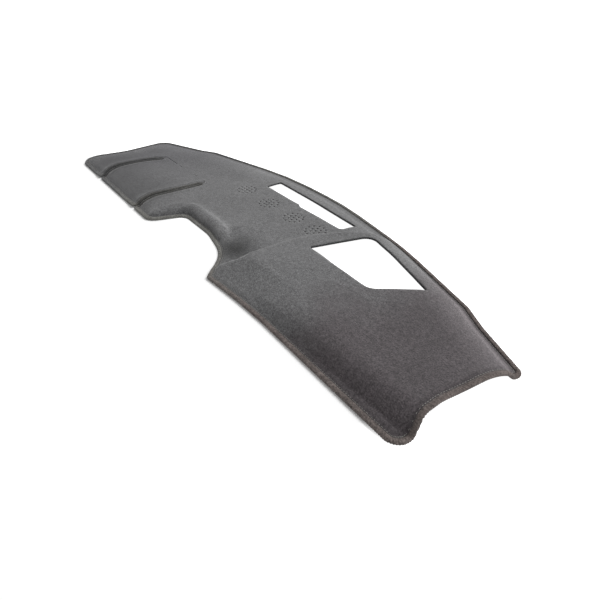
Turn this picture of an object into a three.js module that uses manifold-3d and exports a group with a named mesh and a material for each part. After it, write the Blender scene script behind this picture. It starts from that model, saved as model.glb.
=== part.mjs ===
// A moulded carpet cover for a car's dashboard, lying on a floor. Millimetres, +Z up.
// +X runs to the end with the instrument hood and +Y to the windscreen.
// In the plan the cabin edge lies along X, close to Y = 0.

import * as THREE from 'three';
import { mergeVertices } from 'three/addons/utils/BufferGeometryUtils.js';
import Module from 'manifold-3d';

const { clamp, lerp } = THREE.MathUtils;

// Carpet and edge binding
const CARPET = 4.5;
const CLEARANCE = 0.35;
const BINDING_LIP = 1.1;
const BINDING_PROUD = 2.4;
const BINDING_COVER = 7;
const BINDING_GAP = 1.4;
const HALF_BINDING = CARPET / 2 + CLEARANCE + BINDING_LIP;
const RIM_SPARE = 1;
const RIM_OVERLAP = 0.5;
const RIM_FLAT = BINDING_COVER + RIM_SPARE;
const RIM_WIDTH = RIM_FLAT + RIM_OVERLAP;
const RIM_EASE = 0.3;

// Plan of the whole mat
const LENGTH = 1434;
const NEAR_END = 725;
const FAR_END = NEAR_END - LENGTH;
const FRONT = 2;
const DEPTH = 448;
const FAR_WAIST = 20;
const FAR_DEPTH = 291;
const FAR_CORNER = 62;
const FAR_BACK_CORNER = 40;
const NEAR_DEPTH = 256;
const NEAR_SLANT = 12;
const NEAR_WAIST = 17;
const NEAR_WAIST_AT = 80;
const NEAR_FRONT_DROP = 7;
const NEAR_CORNER = 24;
const NEAR_BACK_CORNER = 14;
const HOOD_FRONT_WAIST = 3;
const HOOD_FRONT_WAIST_AT = 150;

// Corners of the windscreen edge: its long arc, and a step in it at each end
const ARC_RADIUS = 900;
const ARC_FAR = 527;
const ARC_NEAR = 655;
const ARC_BREAK = 395;
const ARC_BREAK_DROP = 45;
const FAR_STEP = 212;
const FAR_STEP_LENGTH = 48;
const FAR_STEP_DROP = 68;
const FAR_STEP_RISE = 27;
const NEAR_STEP = 109;
const NEAR_STEP_LENGTH = 56;
const NEAR_STEP_RISE = 46;
const NEAR_STEP_DROP = 30;
const STEP_RADIUS = 45;

// Notch over the centre stack, between the third tab and the hood
const NOTCH_FAR = -146;
const NOTCH_NEAR = 181;
const NOTCH_DEPTH = 87;
const NOTCH_SLANT = 32;
const NOTCH_CORNER = 30;
const NOTCH_FLAT = 124;
const NOTCH_BREAK = 67;
const NOTCH_BREAK_DROP = 22;
const NOTCH_BEND = 140;
const TIP_RADIUS = 10;
const TIP_DROP = 7;

// Flap over the passenger airbag: two bound slits and a row of hinge cuts
const SLIT_FAR = -500;
const SLIT_NEAR = -241;
const SLIT_DEPTH = 195;
const SLIT_BOW = 19;
const SLIT_STEPS = 4;
const SLIT_MOUTH = 13;
const SLIT_WIDTH = 2 * BINDING_PROUD + BINDING_GAP;
const SLIT_BEND = 12;
const HINGE_CUT = 2;
const HINGE_DASH = 15;
const HINGE_FAR_DASH = 96;
const HINGE_NEAR_DASH = 52;
const HINGE_TURN = 8;
const HINGE_CLEARANCE = 1;
const HINGE_START = SLIT_DEPTH + BINDING_COVER + HINGE_CLEARANCE;
const HINGE_LINE = HINGE_START + HINGE_TURN;
const FAR_TURN_LENGTH = 74;
const NEAR_TURN_LENGTH = 12;

// Slot for the windscreen vent
const SLOT_FAR = -127;
const SLOT_LENGTH = 332;
const SLOT_LEAN = 13;
const SLOT_FRONT = 332;
const SLOT_WIDTH = 54;
const SLOT_TAPER = 14;
const SLOT_JOG = 7;
const SLOT_JOG_AT = 160;
const SLOT_CORNER = 10;
const SLOT_SHARP = 3;

// Cut-out in the hood
const CUTOUT_FAR = 255;
const CUTOUT_FRONT = 196;
const CUTOUT_LENGTH = 191;
const CUTOUT_SKEW = 7;
const CUTOUT_FAR_LEAN = 39;
const CUTOUT_FAR_DEPTH = 142;
const CUTOUT_NEAR_LEAN = 64;
const CUTOUT_NEAR_DEPTH = 85;
const CUTOUT_CORNER = 26;
const CUTOUT_SHARP = 5;

// Speaker perforations
const CLUSTER_Y = 274;
const CLUSTER_X = [-124, -17, 90, 176];
const HOLE = 4.6;
const HOLE_PITCH = 12;
const HOLE_RINGS = 2;
const HOLES_PER_RING = 6;
const HOLE_SIDES = 5;

// Relief of the middle layer above its rim
const RIM = HALF_BINDING;
const CROWN = 18;
const FRONT_ROLL = 62;
const NOTCH_ROLL = 27;
const BACK_ROLL = 110;
const END_ROLL = 110;
const HOOD_RISE = 18;
const HOOD_FAR = 205;
const HOOD_TOE = 34;
const HOOD_TOE_FROM = 82;
const HOOD_TOE_LENGTH = 56;
const HOOD_WALL = 26;
const HOOD_TOE_WALL = 13;
const HOOD_WALL_SPREAD = 12;
const HOOD_BEND_FROM = 160;
const HOOD_BEND = 0.0023;
const HOOD_LIP = 62;
const HOOD_END_LIP = 30;
const HOOD_ROUND = 0.65;
const FOOT_EASE = 0.6;
const HOOD_SLOPE = 68;
const SLOPE_EASE = 0.08;
const HOOD_SLOPE_FROM = 30;
const HOOD_SLOPE_LENGTH = 200;
const HOOD_FLANGE = 20;
const HOOD_BACK_ROLL = 66;
const HOOD_END_ROLL = 96;
const CREASE_Y = 78;
const CREASE_DROP = 5;
const CREASE_LENGTH = 250;
const POCKET_SHARE = 0.85;
const POCKET_FAR = 44;
const POCKET_SLOPE = 30;
const POCKET_REAR = 82;
const POCKET_FADE = 80;
const BROW_RISE = 5;
const BROW_AT = 25;
const BROW_WIDTH = 12;
const BROW_END = 130;

// Fineness of the faceted surface
const ROUGH_STEP = 64;
const COARSE_STEP = 50;
const MEDIUM_STEP = 25;
const BACK_STEP = 35;
const FINE_STEP = 12;
const EDGE_STEP = 50;
const EDGE_BEND = 0.6;
const EDGE_LEAST = 4;
const ARC_STEP = 0.45;
const ARC_ROOM = 0.49;
const ROUND_SHARE = 0.9;
const MARGIN = 12;
const WELD = 1e-4;

function smooth(t) {
  const s = clamp(t, 0, 1);
  return s * s * (3 - 2 * s);
}

// 0 on the flat rim and 1 from the roll's width inwards, round in between
function rollUp(distance, width) {
  const past = distance - RIM_FLAT;
  const t = clamp(past / width, 0, 1);
  return (1 - (1 - t) ** 2) * smooth(past / (width * RIM_EASE));
}

// Polyline through corners [x, y, radius], each rounded by an arc where its neighbours leave room
function rounded(corners, closed) {
  const line = [];
  corners.forEach(([x, y, radius], i) => {
    const corner = new THREE.Vector2(x, y);
    const isEnd = !closed && (i === 0 || i === corners.length - 1);
    if (!radius || isEnd) {
      line.push(corner);
      return;
    }
    const before = new THREE.Vector2(...corners.at(i - 1));
    const after = new THREE.Vector2(...corners[(i + 1) % corners.length]);
    const inward = before.clone().sub(corner);
    const outward = after.clone().sub(corner);
    const half = Math.abs(angleBetween(inward, outward)) / 2;
    const room = ARC_ROOM * Math.min(inward.length(), outward.length());
    const cut = Math.min(radius / Math.tan(half), room);
    const start = inward.setLength(cut).add(corner);
    const end = outward.setLength(cut).add(corner);
    const steps = Math.max(1, Math.ceil((Math.PI - 2 * half) / ARC_STEP));
    for (let k = 0; k <= steps; k += 1) {
      line.push(arcPoint(start, corner, end, half, k / steps));
    }
  });
  return line;
}

function angleBetween(a, b) {
  return Math.atan2(a.x * b.y - a.y * b.x, a.dot(b));
}

// Point at share t of the arc that leaves start and reaches end, tangent to the lines that meet at the corner
function arcPoint(start, corner, end, half, t) {
  const radius = start.distanceTo(corner) * Math.tan(half);
  const bisector = start.clone().add(end).multiplyScalar(0.5).sub(corner);
  const centre = bisector.setLength(radius / Math.sin(half)).add(corner);
  const from = start.clone().sub(centre);
  const turn = angleBetween(from, end.clone().sub(centre));
  return from.rotateAround(new THREE.Vector2(), turn * t).add(centre);
}

// Points from a up to but not including b, close enough to follow the surface's bends
function followed(a, b) {
  const halfway = a.clone().lerp(b, 0.5);
  const bend = middle(halfway.x, halfway.y) - (middle(a.x, a.y) + middle(b.x, b.y)) / 2;
  const length = a.distanceTo(b);
  if (length < EDGE_STEP && (Math.abs(bend) < EDGE_BEND || length < EDGE_LEAST)) return [a];
  return [...followed(a, halfway), ...followed(halfway, b)];
}

// Distance of a place to a line, negative on the line's right
function distanceTo(line, x, y) {
  let nearest = Infinity;
  let side = 1;
  for (let i = 0; i < line.length - 1; i += 1) {
    const a = line[i];
    const dx = line[i + 1].x - a.x;
    const dy = line[i + 1].y - a.y;
    const along = ((x - a.x) * dx + (y - a.y) * dy) / (dx * dx + dy * dy);
    const t = clamp(along, 0, 1);
    const away = Math.hypot(x - a.x - t * dx, y - a.y - t * dy);
    if (away < nearest) {
      nearest = away;
      side = Math.sign(dx * (y - a.y) - dy * (x - a.x)) || 1;
    }
  }
  return side * nearest;
}

// Corners of the plan, going round with the carpet on the left
const farFront = [FAR_END, FRONT, FAR_CORNER];
const farWaist = [FAR_END + FAR_WAIST, FAR_DEPTH / 2, FAR_DEPTH / 2];
const farBack = [FAR_END, FAR_DEPTH, FAR_BACK_CORNER];
const nearFront = [NEAR_END - NEAR_SLANT, FRONT - NEAR_FRONT_DROP, NEAR_CORNER];
const nearWaist = [NEAR_END - NEAR_WAIST, NEAR_WAIST_AT, NEAR_WAIST_AT];
const nearBack = [NEAR_END, NEAR_DEPTH, NEAR_BACK_CORNER];

const notchFlatEnd = NOTCH_FAR + NOTCH_SLANT + NOTCH_FLAT;
const notch = [
  [NOTCH_FAR, FRONT, NOTCH_CORNER],
  [NOTCH_FAR + NOTCH_SLANT, NOTCH_DEPTH, NOTCH_CORNER],
  [notchFlatEnd, NOTCH_DEPTH, NOTCH_BEND],
  [NOTCH_NEAR - NOTCH_BREAK, NOTCH_DEPTH - NOTCH_BREAK_DROP, NOTCH_BEND],
  [NOTCH_NEAR, FRONT - TIP_DROP, TIP_RADIUS],
];

const hoodFront = [NOTCH_NEAR + HOOD_FRONT_WAIST_AT, FRONT + HOOD_FRONT_WAIST, ARC_RADIUS];

const nearStep = [NEAR_END - NEAR_STEP, NEAR_DEPTH + NEAR_STEP_RISE, STEP_RADIUS];
const farStep = [FAR_END + FAR_STEP, DEPTH - FAR_STEP_DROP, STEP_RADIUS];
const back = [
  nearBack,
  nearStep,
  [nearStep[0] - NEAR_STEP_LENGTH, nearStep[1] + NEAR_STEP_DROP, STEP_RADIUS],
  [NEAR_END - ARC_BREAK, DEPTH - ARC_BREAK_DROP, ARC_RADIUS],
  [NEAR_END - ARC_NEAR, DEPTH, ARC_RADIUS],
  [FAR_END + ARC_FAR, DEPTH, ARC_RADIUS],
  farStep,
  [farStep[0] - FAR_STEP_LENGTH, farStep[1] - FAR_STEP_RISE, STEP_RADIUS],
  farBack,
];

const frontLine = rounded([farFront, ...notch, hoodFront, nearFront], false);
const hoodLine = rounded([notch[0], hoodFront, nearFront], false);
const backLine = rounded(back, false);
const farLine = rounded([farBack, farWaist, farFront], false);

// Centre line of a slit, bowed towards the far end
function slitLine(x, bow) {
  const curve = new THREE.QuadraticBezierCurve(
    new THREE.Vector2(x, FRONT),
    new THREE.Vector2(x - 2 * bow, SLIT_DEPTH / 2),
    new THREE.Vector2(x, SLIT_DEPTH),
  );
  return curve.getPoints(SLIT_STEPS);
}

// The slit as an inlet of the outline: up its far side, round its end and back
function inlet(x, bow) {
  const line = slitLine(x, bow);
  const half = SLIT_WIDTH / 2;
  const shifted = (side) => line.map((p) => [p.x + side * half, p.y, SLIT_BEND]);
  const up = shifted(-1);
  const down = shifted(1).reverse();
  up[0][2] = SLIT_MOUTH;
  down.at(-1)[2] = SLIT_MOUTH;
  up.at(-1)[2] = half * ROUND_SHARE;
  down[0][2] = half * ROUND_SHARE;
  return [...up, ...down];
}

const outline = rounded([
  farFront,
  ...inlet(SLIT_FAR, SLIT_BOW),
  ...inlet(SLIT_NEAR, 0),
  ...notch,
  hoodFront,
  nearFront,
  nearWaist,
  ...back,
  farWaist,
], true).flatMap((p, i, line) => followed(p, line[(i + 1) % line.length]));

// Share of the hood's height at a place: 0 beside it and 1 on it, with a wall between
function hoodSide(x, y) {
  const bend = HOOD_BEND * Math.max(0, y - HOOD_BEND_FROM) ** 2;
  const toe = smooth((HOOD_TOE_FROM - y) / HOOD_TOE_LENGTH);
  const crest = HOOD_FAR + bend - HOOD_TOE * toe;
  const spread = HOOD_WALL_SPREAD * smooth((y - CREASE_Y) / HOOD_BEND_FROM);
  const wall = lerp(HOOD_WALL, HOOD_TOE_WALL, toe) + spread;
  return smooth((x - crest + wall) / wall);
}

// Fall of the hood's top from its crease to the cabin edge, which fades along it
function creaseDrop(x, y) {
  const fade = 1 - smooth((x - HOOD_FAR - CREASE_LENGTH / 2) / CREASE_LENGTH);
  return CREASE_DROP * fade * Math.max(0, 1 - y / CREASE_Y);
}

// Share by which the carpet sinks between the notch and the hood's wall
function pocket(x, y) {
  const far = smooth((x - POCKET_FAR) / POCKET_SLOPE);
  const rear = 1 - smooth((y - POCKET_REAR) / POCKET_FADE);
  return POCKET_SHARE * far * rear;
}

// 0 at the rim and 1 from the lip's width inwards, rounder at its far end than at its near end
function lipUp(past, along) {
  const width = lerp(HOOD_LIP, HOOD_END_LIP, along);
  const ease = lerp(RIM_EASE, FOOT_EASE, along);
  const t = clamp(past / width, 0, 1);
  const fall = (1 - t) ** 2;
  const up = lerp(1 - fall, Math.sqrt(1 - fall), HOOD_ROUND * (1 - along));
  return up * smooth(past / (width * ease));
}

// t where it is positive and 0 elsewhere, with an eased knee
function softened(t) {
  return (t + Math.hypot(t, SLOPE_EASE)) / 2;
}

// 0 at the rim and 1 from the slope's width inwards, straight with eased ends
function slopeUp(past) {
  const t = past / HOOD_SLOPE;
  return clamp(softened(t) - softened(t - 1), 0, 1);
}

// Raised roll along the notch
function brow(x, frontDistance) {
  const past = (frontDistance - BROW_AT) / BROW_WIDTH;
  const far = smooth((x - NOTCH_FAR) / NOTCH_SLANT);
  const near = 1 - smooth((x - NOTCH_NEAR + BROW_END) / NOTCH_BREAK);
  return BROW_RISE * far * near * Math.exp(-past * past);
}

// Height of the carpet's middle layer over a place of the plan
function middle(x, y) {
  const frontDistance = distanceTo(frontLine, x, y);
  const backDistance = distanceTo(backLine, x, y);
  const side = hoodSide(x, y);
  const along = clamp((x - HOOD_FAR) / (NEAR_END - HOOD_FAR), 0, 1);
  const lowRoll = lerp(FRONT_ROLL, NOTCH_ROLL, smooth((x - NOTCH_FAR + NOTCH_SLANT) / NOTCH_SLANT));
  const low = CROWN * (1 - pocket(x, y)) * rollUp(frontDistance, lowRoll);
  const steep = smooth((x - HOOD_FAR - HOOD_SLOPE_FROM) / HOOD_SLOPE_LENGTH);
  const hoodPast = distanceTo(hoodLine, x, y) - RIM_FLAT;
  const lip = lipUp(hoodPast - HOOD_FLANGE * along ** 2, along);
  const hood = (CROWN + HOOD_RISE - creaseDrop(x, y)) * lerp(slopeUp(hoodPast), lip, steep);
  const hoodBack = lerp(HOOD_BACK_ROLL, HOOD_END_ROLL, along);
  const rear = rollUp(backDistance, lerp(BACK_ROLL, hoodBack, side));
  const end = rollUp(distanceTo(farLine, x, y), END_ROLL);
  return RIM + lerp(low, hood, side) * rear * end + brow(x, frontDistance);
}

// How much longer a vertical cut through the layer is than its thickness
function stretch(x, y) {
  const step = 1;
  const slopeX = (middle(x + step, y) - middle(x - step, y)) / (2 * step);
  const slopeY = (middle(x, y + step) - middle(x, y - step)) / (2 * step);
  return Math.hypot(1, slopeX, slopeY);
}

const wasm = await Module();
wasm.setup();

function solid(geometry) {
  geometry.deleteAttribute('normal');
  geometry.deleteAttribute('uv');
  const merged = mergeVertices(geometry, WELD);
  return new wasm.Manifold(new wasm.Mesh({
    numProp: 3,
    vertProperties: new Float32Array(merged.attributes.position.array),
    triVerts: new Uint32Array(merged.index.array),
  }));
}

function geometryOf(manifold) {
  const mesh = manifold.getMesh();
  const geometry = new THREE.BufferGeometry();
  geometry.setAttribute('position', new THREE.BufferAttribute(mesh.vertProperties, 3));
  geometry.setIndex(new THREE.BufferAttribute(mesh.triVerts, 1));
  return geometry;
}

// Grid lines from stop to stop, each stretch with its own spacing: [from, spacing], ..., [end]
function gridLines(stops) {
  const lines = [];
  for (let i = 0; i < stops.length - 1; i += 1) {
    const [from, spacing] = stops[i];
    const to = stops[i + 1][0];
    const count = Math.max(1, Math.round((to - from) / spacing));
    for (let k = 0; k < count; k += 1) {
      lines.push(from + ((to - from) * k) / count);
    }
  }
  lines.push(stops.at(-1)[0]);
  return lines;
}

const gridX = gridLines([
  [FAR_END - MARGIN, COARSE_STEP],
  [FAR_END + END_ROLL, ROUGH_STEP],
  [NOTCH_FAR - NOTCH_CORNER, MEDIUM_STEP],
  [NOTCH_NEAR - 2 * NOTCH_SLANT, FINE_STEP],
  [HOOD_FAR + MARGIN, COARSE_STEP],
  [NEAR_END + MARGIN],
]);

const gridY = gridLines([
  [FRONT - MARGIN, MARGIN],
  [FRONT + RIM_FLAT, FINE_STEP],
  [FRONT + HOOD_END_LIP + HOOD_FLANGE, MEDIUM_STEP],
  [NOTCH_DEPTH, FINE_STEP],
  [NOTCH_DEPTH + BROW_AT + BROW_WIDTH, ROUGH_STEP],
  [DEPTH - BACK_ROLL, BACK_STEP],
  [DEPTH + MARGIN],
]);

// Closed layer round the middle surface, this much to each side of it
function layer(halfThickness) {
  const positions = [];
  for (const side of [-1, 1]) {
    for (const x of gridX) {
      for (const y of gridY) {
        positions.push(x, y, middle(x, y) + side * halfThickness * stretch(x, y));
      }
    }
  }
  const rows = gridY.length;
  const rear = rows - 1;
  const last = gridX.length - 1;
  const size = gridX.length * rows;
  const at = (i, j, top) => i * rows + j + (top ? size : 0);
  const index = [];
  const quad = (a, b, c, d) => index.push(a, b, c, a, c, d);
  for (let i = 0; i < last; i += 1) {
    for (let j = 0; j < rear; j += 1) {
      quad(at(i, j, true), at(i + 1, j, true), at(i + 1, j + 1, true), at(i, j + 1, true));
      quad(at(i, j, false), at(i, j + 1, false), at(i + 1, j + 1, false), at(i + 1, j, false));
    }
    quad(at(i, 0, false), at(i + 1, 0, false), at(i + 1, 0, true), at(i, 0, true));
    quad(at(i, rear, true), at(i + 1, rear, true), at(i + 1, rear, false), at(i, rear, false));
  }
  for (let j = 0; j < rear; j += 1) {
    quad(at(0, j, true), at(0, j + 1, true), at(0, j + 1, false), at(0, j, false));
    quad(at(last, j, false), at(last, j + 1, false), at(last, j + 1, true), at(last, j, true));
  }
  const geometry = new THREE.BufferGeometry();
  geometry.setAttribute('position', new THREE.Float32BufferAttribute(positions, 3));
  geometry.setIndex(index);
  return solid(geometry);
}

const TOP = CROWN + HOOD_RISE + CARPET;
const REACH = 4 * TOP;

// Upright prism over a closed line of the plan, taller than the mat
function prism(line) {
  const options = { depth: 2 * REACH, bevelEnabled: false };
  const geometry = new THREE.ExtrudeGeometry(new THREE.Shape(line), options);
  geometry.translate(0, 0, -REACH);
  return solid(geometry);
}

// Outward direction of a closed line at one of its points
function outwardAt(line, i) {
  const before = line.at(i - 1);
  const after = line[(i + 1) % line.length];
  const here = line[i];
  const a = here.clone().sub(before).normalize();
  const b = after.clone().sub(here).normalize();
  const along = a.add(b).normalize();
  return new THREE.Vector2(along.y, -along.x);
}

// Thin cut along an open line of the plan
function cutAlong(line) {
  const half = HINGE_CUT / 2;
  const sides = line.map((p, i) => {
    const a = line[Math.max(0, i - 1)];
    const b = line[Math.min(line.length - 1, i + 1)];
    const across = new THREE.Vector2(a.y - b.y, b.x - a.x).setLength(half);
    return [p.clone().sub(across), p.clone().add(across)];
  });
  return prism([...sides.map((s) => s[0]), ...sides.map((s) => s[1]).reverse()]);
}

// Hinge of the flap: a cut that turns off each slit's end, and dashes between them
function hingeCuts() {
  const turn = (x, length, side) => rounded([
    [x, HINGE_START, 0],
    [x, HINGE_LINE, HINGE_TURN * ROUND_SHARE],
    [x + side * length, HINGE_LINE, 0],
  ], false);
  const dash = (x) => [new THREE.Vector2(x, HINGE_LINE), new THREE.Vector2(x + HINGE_DASH, HINGE_LINE)];
  return [
    turn(SLIT_FAR, FAR_TURN_LENGTH, 1),
    turn(SLIT_NEAR, NEAR_TURN_LENGTH, -1),
    dash(SLIT_FAR + HINGE_FAR_DASH),
    dash(SLIT_NEAR - HINGE_NEAR_DASH - HINGE_DASH),
  ].map(cutAlong);
}

function slotLine() {
  const near = SLOT_FAR + SLOT_LENGTH;
  const rear = SLOT_FRONT + SLOT_WIDTH;
  return rounded([
    [SLOT_FAR + SLOT_LEAN, SLOT_FRONT, SLOT_SHARP],
    [SLOT_FAR + SLOT_JOG_AT, SLOT_FRONT, SLOT_JOG],
    [SLOT_FAR + SLOT_JOG_AT + 2 * SLOT_JOG, SLOT_FRONT - SLOT_JOG, SLOT_JOG],
    [near, SLOT_FRONT - SLOT_JOG, SLOT_CORNER],
    [near, rear - SLOT_TAPER, SLOT_SHARP],
    [SLOT_FAR, rear, SLOT_SHARP],
  ], true);
}

function cutoutLine() {
  const near = CUTOUT_FAR + CUTOUT_LENGTH;
  const nearFrontY = CUTOUT_FRONT - CUTOUT_SKEW;
  return rounded([
    [CUTOUT_FAR, CUTOUT_FRONT, CUTOUT_SHARP],
    [near, nearFrontY, CUTOUT_CORNER],
    [near + CUTOUT_NEAR_LEAN, nearFrontY + CUTOUT_NEAR_DEPTH, CUTOUT_SHARP],
    [CUTOUT_FAR + CUTOUT_FAR_LEAN, CUTOUT_FRONT + CUTOUT_FAR_DEPTH, CUTOUT_CORNER],
  ], true);
}

// Round holes in rings about each cluster's centre
function perforations() {
  const holes = [];
  for (const centreX of CLUSTER_X) {
    for (let ring = 0; ring <= HOLE_RINGS; ring += 1) {
      const count = Math.max(1, HOLES_PER_RING * ring);
      for (let k = 0; k < count; k += 1) {
        const turn = (2 * Math.PI * k) / count;
        const x = centreX + ring * HOLE_PITCH * Math.cos(turn);
        const y = CLUSTER_Y + ring * HOLE_PITCH * Math.sin(turn);
        holes.push(new THREE.CylinderGeometry(HOLE / 2, HOLE / 2, 2 * REACH, HOLE_SIDES)
          .rotateX(Math.PI / 2)
          .translate(x, y, 0));
      }
    }
  }
  return holes.map(solid);
}

// Solid swept along the outline. A section point [across, up] lies this far out from the carpet's edge,
// and this far up from the middle layer, which runs straight from the edge to the rim's inner line
function swept(section) {
  const positions = [];
  outline.forEach((p, i) => {
    const out = outwardAt(outline, i);
    const inner = p.clone().addScaledVector(out, -RIM_WIDTH);
    for (const [across, up] of section) {
      const share = clamp(-across / RIM_WIDTH, 0, 1);
      const height = lerp(middle(p.x, p.y), middle(inner.x, inner.y), share);
      const tall = lerp(stretch(p.x, p.y), stretch(inner.x, inner.y), share);
      positions.push(p.x + out.x * across, p.y + out.y * across, height + up * tall);
    }
  });
  const sides = section.length;
  const index = [];
  for (let i = 0; i < outline.length; i += 1) {
    const next = (i + 1) % outline.length;
    for (let k = 0; k < sides; k += 1) {
      const up = (k + 1) % sides;
      const a = i * sides + k;
      const b = next * sides + k;
      const c = next * sides + up;
      const d = i * sides + up;
      const outwards = section[up][0] >= section[k][0];
      index.push(...(outwards ? [a, b, c, a, c, d] : [a, b, d, b, c, d]));
    }
  }
  const geometry = new THREE.BufferGeometry();
  geometry.setAttribute('position', new THREE.Float32BufferAttribute(positions, 3));
  geometry.setIndex(index);
  return solid(geometry);
}

// The carpet's flat rim, which the binding holds
function carpetRim() {
  const half = CARPET / 2;
  return swept([[-RIM_WIDTH, -half], [0, -half], [0, half], [-RIM_WIDTH, half]]);
}

function carpetMat() {
  const inside = outline.map((p, i) => p.clone().addScaledVector(outwardAt(outline, i), -RIM_FLAT));
  let carpet = layer(CARPET / 2).intersect(prism(inside)).add(carpetRim());
  for (const cut of [prism(slotLine()), prism(cutoutLine()), ...hingeCuts(), ...perforations()]) {
    carpet = carpet.subtract(cut);
  }
  return geometryOf(carpet);
}

// Band sewn round the edge, open to the inside where the carpet lies in it
function edgeBinding() {
  const room = CARPET / 2 + CLEARANCE;
  return geometryOf(swept([
    [-BINDING_COVER, -HALF_BINDING],
    [CLEARANCE, -HALF_BINDING],
    [BINDING_PROUD, 0],
    [CLEARANCE, HALF_BINDING],
    [-BINDING_COVER, HALF_BINDING],
    [-BINDING_COVER, room],
    [CLEARANCE, room],
    [CLEARANCE, -room],
    [-BINDING_COVER, -room],
  ]));
}

const carpetMaterial = new THREE.MeshStandardMaterial({ color: 0x5f5f60, roughness: 0.95, metalness: 0 });
const bindingMaterial = new THREE.MeshStandardMaterial({ color: 0x55524f, roughness: 0.9, metalness: 0 });

const carpet = new THREE.Mesh(carpetMat(), carpetMaterial);
carpet.name = 'carpet_mat';
const binding = new THREE.Mesh(edgeBinding(), bindingMaterial);
binding.name = 'edge_binding';

// Origin at the middle of the plan's box, on the floor
const mat = new THREE.Group();
mat.add(carpet, binding);
const box = new THREE.Box3().setFromObject(mat);
const centre = box.getCenter(new THREE.Vector3());
mat.position.set(-centre.x, -centre.y, -box.min.z);
mat.updateMatrixWorld(true);

export default mat;
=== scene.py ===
"""Looks of a moulded carpet cover for a car's dashboard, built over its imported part.

Sizes are in millimetres of the plan, as in the part's source, and meshes in metres of the row's frame.
"""

import math
import random

import bpy
import numpy as np
from mathutils.geometry import delaunay_2d_cdt
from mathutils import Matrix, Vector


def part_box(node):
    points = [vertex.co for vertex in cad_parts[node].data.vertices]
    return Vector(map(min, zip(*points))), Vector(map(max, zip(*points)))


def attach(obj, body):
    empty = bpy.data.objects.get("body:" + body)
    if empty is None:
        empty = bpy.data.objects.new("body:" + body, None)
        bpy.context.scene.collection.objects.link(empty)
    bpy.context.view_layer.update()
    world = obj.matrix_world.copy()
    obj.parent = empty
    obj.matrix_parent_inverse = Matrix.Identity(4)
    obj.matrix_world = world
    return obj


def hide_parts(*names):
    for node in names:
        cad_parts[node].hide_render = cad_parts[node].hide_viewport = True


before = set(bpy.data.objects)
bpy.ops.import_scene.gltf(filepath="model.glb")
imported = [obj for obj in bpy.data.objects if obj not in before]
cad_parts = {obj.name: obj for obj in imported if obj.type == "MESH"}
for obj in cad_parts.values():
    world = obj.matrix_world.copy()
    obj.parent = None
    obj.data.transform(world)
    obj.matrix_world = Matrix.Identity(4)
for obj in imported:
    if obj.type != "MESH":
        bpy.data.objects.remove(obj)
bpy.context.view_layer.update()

# Carpet and edge binding
CARPET = 4.5
CLEARANCE = 0.35
BINDING_LIP = 1.1
BINDING_PROUD = 2.4
BINDING_COVER = 7
BINDING_GAP = 1.4
HALF_BINDING = CARPET / 2 + CLEARANCE + BINDING_LIP
RIM_SPARE = 1
RIM_FLAT = BINDING_COVER + RIM_SPARE
RIM_EASE = 0.3

# Plan of the whole mat
LENGTH = 1434
NEAR_END = 725
FAR_END = NEAR_END - LENGTH
FRONT = 2
DEPTH = 448
FAR_WAIST = 20
FAR_DEPTH = 291
FAR_CORNER = 62
FAR_BACK_CORNER = 40
NEAR_DEPTH = 256
NEAR_SLANT = 12
NEAR_WAIST = 17
NEAR_WAIST_AT = 80
NEAR_FRONT_DROP = 7
NEAR_CORNER = 24
NEAR_BACK_CORNER = 14
HOOD_FRONT_WAIST = 3
HOOD_FRONT_WAIST_AT = 150

# Corners of the windscreen edge
ARC_RADIUS = 900
ARC_FAR = 527
ARC_NEAR = 655
ARC_BREAK = 395
ARC_BREAK_DROP = 45
FAR_STEP = 212
FAR_STEP_LENGTH = 48
FAR_STEP_DROP = 68
FAR_STEP_RISE = 27
NEAR_STEP = 109
NEAR_STEP_LENGTH = 56
NEAR_STEP_RISE = 46
NEAR_STEP_DROP = 30
STEP_RADIUS = 45

# Notch over the centre stack
NOTCH_FAR = -146
NOTCH_NEAR = 181
NOTCH_DEPTH = 87
NOTCH_SLANT = 32
NOTCH_CORNER = 30
NOTCH_FLAT = 124
NOTCH_BREAK = 67
NOTCH_BREAK_DROP = 22
NOTCH_BEND = 140
TIP_RADIUS = 10
TIP_DROP = 7

# Airbag flap
SLIT_FAR = -500
SLIT_NEAR = -241
SLIT_DEPTH = 195
SLIT_BOW = 19
SLIT_STEPS = 12
SLIT_MOUTH = 13
SLIT_WIDTH = 2 * BINDING_PROUD + BINDING_GAP
SLIT_BEND = 12
ROUND_SHARE = 0.9
HINGE_CUT = 1.3
HINGE_DASH = 15
HINGE_FAR_DASH = 96
HINGE_NEAR_DASH = 52
HINGE_TURN = 8
HINGE_CLEARANCE = 1
HINGE_START = SLIT_DEPTH + BINDING_COVER + HINGE_CLEARANCE
HINGE_LINE = HINGE_START + HINGE_TURN
FAR_TURN_LENGTH = 74
NEAR_TURN_LENGTH = 12

# Slot for the windscreen vent
SLOT_FAR = -127
SLOT_LENGTH = 332
SLOT_LEAN = 13
SLOT_FRONT = 332
SLOT_WIDTH = 54
SLOT_TAPER = 14
SLOT_JOG = 7
SLOT_JOG_AT = 160
SLOT_CORNER = 10
SLOT_SHARP = 3

# Cut-out in the hood
CUTOUT_FAR = 255
CUTOUT_FRONT = 196
CUTOUT_LENGTH = 191
CUTOUT_SKEW = 7
CUTOUT_FAR_LEAN = 39
CUTOUT_FAR_DEPTH = 142
CUTOUT_NEAR_LEAN = 64
CUTOUT_NEAR_DEPTH = 85
CUTOUT_CORNER = 26
CUTOUT_SHARP = 5

# Speaker perforations
CLUSTER_Y = 274
CLUSTER_X = (-124, -17, 90, 176)
HOLE = 4.6
HOLE_PITCH = 12
HOLE_RINGS = 2
HOLES_PER_RING = 6
HOLE_SIDES = 12

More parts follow.
